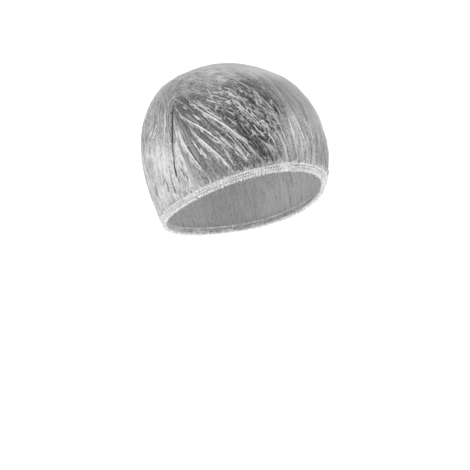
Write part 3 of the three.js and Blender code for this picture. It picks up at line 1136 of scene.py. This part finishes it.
HEM_TOP = HEM_PROFILE[0][0]
INSIDE_OUT = -0.7  # mm: what is nearer in than this is the hem's inside
print("hem from", min(row[0] for row in HEM_PROFILE), "to", HEM_TOP, "mm above the fold")

# %% Pleats, stitched rows and the frill
HEM_AROUND, HEM_FINE = 1320, 2  # columns, and rows to each row of the profile
HEM_PLEATS = 190
STITCH_ROWS = (5.2, 2.6)  # mm, from the fold up to each row of stitches
SCALLOP, SCALLOP_REACH = 0.9, 1.4  # mm: how far pleats push the fold down, and how far up
FRILL_FOOT, FRILL_HEIGHT = 7.5, 2  # mm
COVER = 0.5  # mm: how much of a row of stitches the pleats cover in places


def hem_level(above):
    return FOLD_LEVEL - np.asarray(above) / HEM_HEIGHT


def wandering(count, waves, seed):
    """A smooth random number for each of count places round the cap, from -1 to 1."""
    source = np.random.default_rng(seed)
    turn = np.linspace(0, 2 * np.pi, count, endpoint=False)
    total = sum(
        source.normal() * np.cos(k * turn + source.uniform(0, 2 * np.pi)) for k in range(1, waves)
    )
    return total / np.abs(total).max()


def hem_grid():
    """The hem's points, and for each how far up a pleat, from a row and from the top it is."""
    knots = np.arange(len(HEM_PROFILE))
    steps = np.linspace(0, knots[-1], knots[-1] * HEM_FINE + 1)
    profile = {
        name: np.interp(steps, knots, column)[:, None]
        for name, column in zip(HEM_COLUMNS, np.array(HEM_PROFILE).T)
    }
    above, outside = profile["above"], profile["out"] > INSIDE_OUT
    angle = np.linspace(0, 360, HEM_AROUND, endpoint=False)[None, :]

    # pleats that wander from side to side on their way down, with smaller ones between
    slow, swell, quick, torn = (
        wandering(HEM_AROUND, waves, waves)[None, :] for waves in (40, 90, 160, 260)
    )
    bend, sway = (np.sin(steps / rows)[:, None] for rows in (3.1, 2.3))
    phase = HEM_PLEATS * np.radians(angle) + 6 * slow + quick * bend
    second = np.sin(phase * 1.63 + 1.3 * sway) * 0.4
    wave = (np.sin(phase) + second) * (0.6 + 0.6 * np.abs(swell))

    # the fold is scalloped, and the frill torn to uneven heights
    frill = np.clip((above - FRILL_FOOT) / FRILL_HEIGHT, 0, 1) * outside
    lift = SCALLOP * np.exp(-((above / SCALLOP_REACH) ** 2)) * wave
    lift = lift - frill * (3.6 * torn + 2.6 * swell + 0.6 * wave)
    points = form_point(angle, hem_level(above - lift))
    outward = form_outward(angle + 0 * above, hem_level(above))
    out = profile["out"] + np.where(outside, 1, -1) * profile["pleat"] * wave
    points = points + outward * out[..., None]

    from_rows = []
    for row, seed in zip(STITCH_ROWS, (5, 6)):
        cover = np.clip(1.6 * wandering(HEM_AROUND, 22, seed)[None, :] + 0.25, 0, 1)
        from_rows.append(np.abs(above - row) + COVER * cover)
    from_top = np.where(outside, HEM_TOP - above, 5)  # the inside has no torn edge
    return points, 0.5 + 0.4 * wave, np.min(from_rows, axis=0), from_top + 0 * angle


hem_points, hem_crest, hem_row, hem_top = hem_grid()
hem = skin("hem_gathers", hem_points, crest=hem_crest, from_row=hem_row, from_top=hem_top)
print("hem of", len(hem.data.polygons), "faces")

# %% [markdown]
# ## The hem's finish
# Bunched film is whiter than the sheet: each pleat has many layers. Its own crumples are small
# and run no way, its crests get a painted highlight and its valleys painted shade, the pinched
# lines under the stitches are painted darkest as shadow, and at the top of the frill it is torn
# into holes, which alpha makes.

# %% The hem's film
# painted shade in the pleats' valleys, a painted highlight on their crests, and painted shadow in the
# pinches
SHADED_VALLEY, LIT_CREST, PINCH_SHADOW = grey(0.40), grey(0.85), grey(0.01)
HEM_CRUMPLE = {"Across": 2.4, "Along": 2.4, "Warp": 0.6}


def hem_material():
    material, tree, surface = plain_material("gathered_film", {"Roughness": 0.35})
    place = vectors("SCALE", object_place(tree), 1000)
    bits, bits_lines = drawn_at(crumple, place, **HEM_CRUMPLE)
    # the crumples' tone, with a painted highlight on the pleats' crests and painted shade in their
    # valleys
    lit = added(bits, 0.5, times(attribute(tree, "crest"), 0.4))
    lit = added(bits_lines, 0.25, lit, clamp=True)
    # painted shadow in the pinches under the stitches
    pinch_shadow = ramp(attribute(tree, "from_row"), 0.35, 0.7, 0.9, 0.0)
    body = blend_colours(pinch_shadow, blend_colours(lit, SHADED_VALLEY, LIT_CREST), PINCH_SHADOW)
    wire(surface["Base Color"], body)
    whole = ramp(added(bits, -2.6, attribute(tree, "from_top")), -1.0, 1.2)
    wire(surface["Alpha"], times(added(lit, 0.18, 0.80), whole))
    bump(surface, bits, strength=0.5, deep=0.4)
    return material


hem.data.materials.append(hem_material())
print("finish on", hem.name, "of", len(hem.data.materials[0].node_tree.nodes), "nodes")

# %% [markdown]
# ## The elastic
# Narrow flat elastic is a row of covered rubber threads held side by side by a fine braid. That
# is a shape that repeats along a path, which is what Geometry Nodes are for: a few closed
# lines, one to each thread, are turned into curves, and each curve into a tube.


# %% Closed lines round the hem
def closed_lines(name, loops):
    """An object of closed lines, each through a loop of points in mm."""
    edges, first = [], 0
    for loop in loops:
        edges += [(first + i, first + (i + 1) % len(loop)) for i in range(len(loop))]
        first += len(loop)
    return in_scene(name, new_mesh(name, np.concatenate(loops), edges, []))


def hem_loop(above, out, count):
    """A level loop of points round the hem."""
    angle = np.linspace(0, 360, count, endpoint=False)
    level = hem_level(above) + 0 * angle
    return form_point(angle, level) + form_outward(angle, level) * out


# %% What every tree along lines needs
def along_lines(given, step):
    """Points at even steps along the curves through the lines."""
    curve = add_node("GeometryNodeMeshToCurve", {"Mesh": given["Lines"]})
    inputs = {"Curve": curve, "Length": given[step]}
    return add_node("GeometryNodeResampleCurve", inputs, mode="LENGTH")


def finished(shape, given, result):
    """The end of a tree: smooth, real, and with its material."""
    smooth = add_node("GeometryNodeSetShadeSmooth", {"Geometry": shape})
    real = add_node("GeometryNodeRealizeInstances", {"Geometry": smooth})
    inputs = {"Geometry": real, "Material": given["Finish"]}
    wire(result, add_node("GeometryNodeSetMaterial", inputs))


def grown(name, source, tree, values):
    """Runs a node tree on an object and keeps the result as a plain mesh object."""
    modifier = source.modifiers.new("grow", "NODES")
    modifier.node_group = tree
    names = {item.name: item.identifier for item in tree.interface.items_tree}
    for label, value in values.items():
        modifier[names[label]] = value
    source.update_tag()
    depsgraph = bpy.context.evaluated_depsgraph_get()
    mesh = bpy.data.meshes.new_from_object(source.evaluated_get(depsgraph))
    mesh.name = name
    bpy.data.objects.remove(source)
    return in_scene(name, mesh)


# %% The elastic's threads
ELASTIC_THREADS, ELASTIC_LOW, ELASTIC_HIGH = 7, 1.4, 6.4  # mm above the fold
ELASTIC_OUT, ELASTIC_POINTS = -1.0, 180  # mm from the smooth form, and points to a loop
THREAD_RADIUS, THREAD_STEP = 0.00048, 0.0028  # metres
THREAD_SIDES = 8
BRAID_FINE, BRAID_TONES = 1400, (grey(0.45), grey(0.66))  # to a metre, and its two greys


def thread_nodes():
    inputs = {"Lines": "Geometry", "Thread radius": 0.0005, "Step": 0.003, "Finish": "Material"}
    outputs = {"Threads": "Geometry"}
    tree, given, out = new_group("threads_along_lines", "GeometryNodeTree", inputs, outputs)
    line, size = along_lines(given, "Step"), given["Thread radius"]
    circle = {"Resolution": THREAD_SIDES, "Radius": size}
    ring = add_node("GeometryNodeCurvePrimitiveCircle", circle)
    tube = add_node("GeometryNodeCurveToMesh", {"Curve": line, "Profile Curve": ring})
    finished(tube, given, out["Threads"])
    return tree


def elastic_material():
    finish = {"Roughness": 0.8, "Sheen Weight": 0.2}
    material, tree, surface = plain_material("braided_elastic", finish)
    braid = noise_node(object_place(tree), 2, BRAID_FINE)
    wire(surface["Base Color"], blend_colours(braid, *BRAID_TONES))
    bump(surface, braid, strength=0.6, deep=0.2)
    return material


loops = [
    hem_loop(above, ELASTIC_OUT, ELASTIC_POINTS)
    for above in np.linspace(ELASTIC_LOW, ELASTIC_HIGH, ELASTIC_THREADS)
]
sizes = {"Thread radius": THREAD_RADIUS, "Step": THREAD_STEP, "Finish": elastic_material()}
threads = closed_lines("elastic_lines", loops)
elastic = grown("elastic_threads", threads, thread_nodes(), sizes)
print("elastic of", len(elastic.data.polygons), "faces")

# %% [markdown]
# ## The stitches
# Two rows of short white stitches hold the folded hem. A stitch is the same small capsule
# hundreds of times along a line, so Geometry Nodes place it: the line is cut into even steps,
# and at each step stands one stitch, turned along the line.

# %% Stitches
STITCH_PITCH, STITCH_LONG, STITCH_THICK = 0.0025, 0.0015, 0.0011  # metres
STITCH_STRAY = 0.00012  # metres, each way
STITCH_OUT, STITCH_POINTS = 1.0, 720  # mm from the smooth form, and points to a loop
BEAD_SEGMENTS, BEAD_RINGS = 6, 5
TWIST_FINE, TWIST_TONES = 2600, (grey(0.5), grey(0.66))  # to a metre, and its two greys


def stitch_nodes():
    inputs = {"Lines": "Geometry", "Pitch": 0.0014, "Long": 0.0011, "Thick": 0.0004}
    inputs |= {"Seed": 4, "Finish": "Material"}
    outputs = {"Stitches": "Geometry"}
    tree, given, out = new_group("stitches_along_lines", "GeometryNodeTree", inputs, outputs)
    ball = {"Segments": BEAD_SEGMENTS, "Rings": BEAD_RINGS, "Radius": 0.5}
    bead = add_node("GeometryNodeMeshUVSphere", ball, "Mesh", tree)
    thick, long = given["Thick"], given["Long"]
    size = add_node("ShaderNodeCombineXYZ", {"X": thick, "Y": thick, "Z": long})
    tangent = add_node("GeometryNodeInputTangent", {}, tree=tree)
    turn = add_node("FunctionNodeAlignRotationToVector", {"Vector": tangent}, axis="Z")
    line = along_lines(given, "Pitch")
    each = {"Points": line, "Instance": bead, "Rotation": turn, "Scale": size}
    row = add_node("GeometryNodeInstanceOnPoints", each)
    reach = {"Min": (-STITCH_STRAY,) * 3, "Max": (STITCH_STRAY,) * 3, "Seed": given["Seed"]}
    stray = add_node("FunctionNodeRandomValue", reach, "Value", data_type="FLOAT_VECTOR")
    uneven = add_node("GeometryNodeTranslateInstances", {"Instances": row, "Translation": stray})
    finished(uneven, given, out["Stitches"])
    return tree


def stitch_material():
    finish = {"Roughness": 0.7, "Sheen Weight": 0.15}
    material, tree, surface = plain_material("stitch_thread", finish)
    twist = noise_node(object_place(tree), 2, TWIST_FINE)
    wire(surface["Base Color"], blend_colours(twist, *TWIST_TONES))
    return material


loops = [hem_loop(above, STITCH_OUT, STITCH_POINTS) for above in STITCH_ROWS]
sizes = {"Pitch": STITCH_PITCH, "Long": STITCH_LONG, "Thick": STITCH_THICK}
sizes["Finish"] = stitch_material()
rows = closed_lines("stitch_lines", loops)
stitches = grown("hem_stitches", rows, stitch_nodes(), sizes)
print("stitches of", len(stitches.data.polygons), "faces")

# %% [markdown]
# ## What stands for what
# The film sheet, its hem and the elastic take the places of the plain engineering solids.
# Before it was gathered, the film was a disc.

for piece, node in ((film, "film_crown"), (hem, "film_crown"), (stitches, "film_crown")):
    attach(piece, "root")
    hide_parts(node)
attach(elastic, "root")
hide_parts("elastic_band")
print("pieces:", film.name, hem.name, stitches.name, elastic.name)

# %% [markdown]
# ## The stage
# A white sweep stands for the floor and the wall behind, so that no line shows between them.
# It lies where the foot of a display bust would be. Soft lamps from the upper left and the
# right give the film long highlights.

# %% The sweep, with its sizes in metres
FLOOR_HEIGHT = -0.42
SWEEP_FRONT, SWEEP_BACK = -3.0, 2.6  # from its front edge to where it starts to bend
SWEEP_BEND = 1.2  # radius
SWEEP_TOP, SWEEP_SIDE = 5.0, 5.0
BEND_STEPS = 12
PAPER_GLOW = 0.3  # the paper is lit from behind too, as a light table is


def sweep():
    """A floor that curves up into a wall behind the cap, seen from the camera."""
    turns = np.linspace(0, math.pi / 2, BEND_STEPS + 1)
    bend = [(math.sin(turn), 1 - math.cos(turn)) for turn in turns]
    outline = [(SWEEP_FRONT, 0.0)]
    outline += [(SWEEP_BACK + SWEEP_BEND * run, SWEEP_BEND * rise) for run, rise in bend]
    outline.append((SWEEP_BACK + SWEEP_BEND, SWEEP_TOP))
    turn, points = -CAMERA_TURN, []
    for run, rise in outline:
        for across in (-SWEEP_SIDE, SWEEP_SIDE):
            x = run * math.sin(turn) + across * math.cos(turn)
            y = run * math.cos(turn) - across * math.sin(turn)
            points.append((x, y, FLOOR_HEIGHT + rise))
    faces = [(2 * i, 2 * i + 1, 2 * i + 3, 2 * i + 2) for i in range(len(outline) - 1)]
    mesh = bpy.data.meshes.new("sweep")
    mesh.from_pydata(points, [], faces)
    mesh.polygons.foreach_set("use_smooth", [True] * len(faces))
    finish = {"Base Color": grey(0.95), "Emission Color": grey(1), "Roughness": 1}
    finish |= {"Emission Strength": PAPER_GLOW, "Specular IOR Level": 0}
    mesh.materials.append(plain_material("white_paper", finish)[0])
    thing = in_scene("sweep", mesh)
    return thing


backdrop = sweep()
print("sweep of", len(backdrop.data.polygons), "faces")

# %% Lamps, world and colour
# azimuth and elevation: degrees, as the camera's. distance and size: metres. power: watts.
LAMP_COLUMNS = ("azimuth", "elevation", "distance", "size", "power")
LAMPS = {
    "key": (-100, 38, 1.3, (1.0, 1.3), 9),
    "top": (-10, 70, 1.3, (1.2, 0.9), 5),
    "edge": (35, 20, 1.4, (0.6, 1.2), 6),
}
LAMP_AIM = Vector((0, 0, -0.09))
WORLD_LIGHT = 0.7


def soft_lamp(name, azimuth, elevation, distance, size, power):
    """A rectangular lamp aimed at the cap."""
    data = bpy.data.lights.new(name, "AREA")
    data.shape, data.size, data.size_y, data.energy = "RECTANGLE", *size, power
    lamp = in_scene(name, data)
    stand_off(lamp, LAMP_AIM, math.radians(azimuth), math.radians(elevation), distance)


for name, row in LAMPS.items():
    soft_lamp(name, **dict(zip(LAMP_COLUMNS, row)))
world = bpy.data.worlds.new("studio")
world.use_nodes = True
world.node_tree.nodes["Background"].inputs["Color"].default_value = grey(1)
world.node_tree.nodes["Background"].inputs["Strength"].default_value = WORLD_LIGHT
bpy.context.scene.world = world
bpy.context.scene.view_settings.view_transform = "Standard"
print("lamps:", *LAMPS)

# %% Finish
bpy.context.view_layer.update()
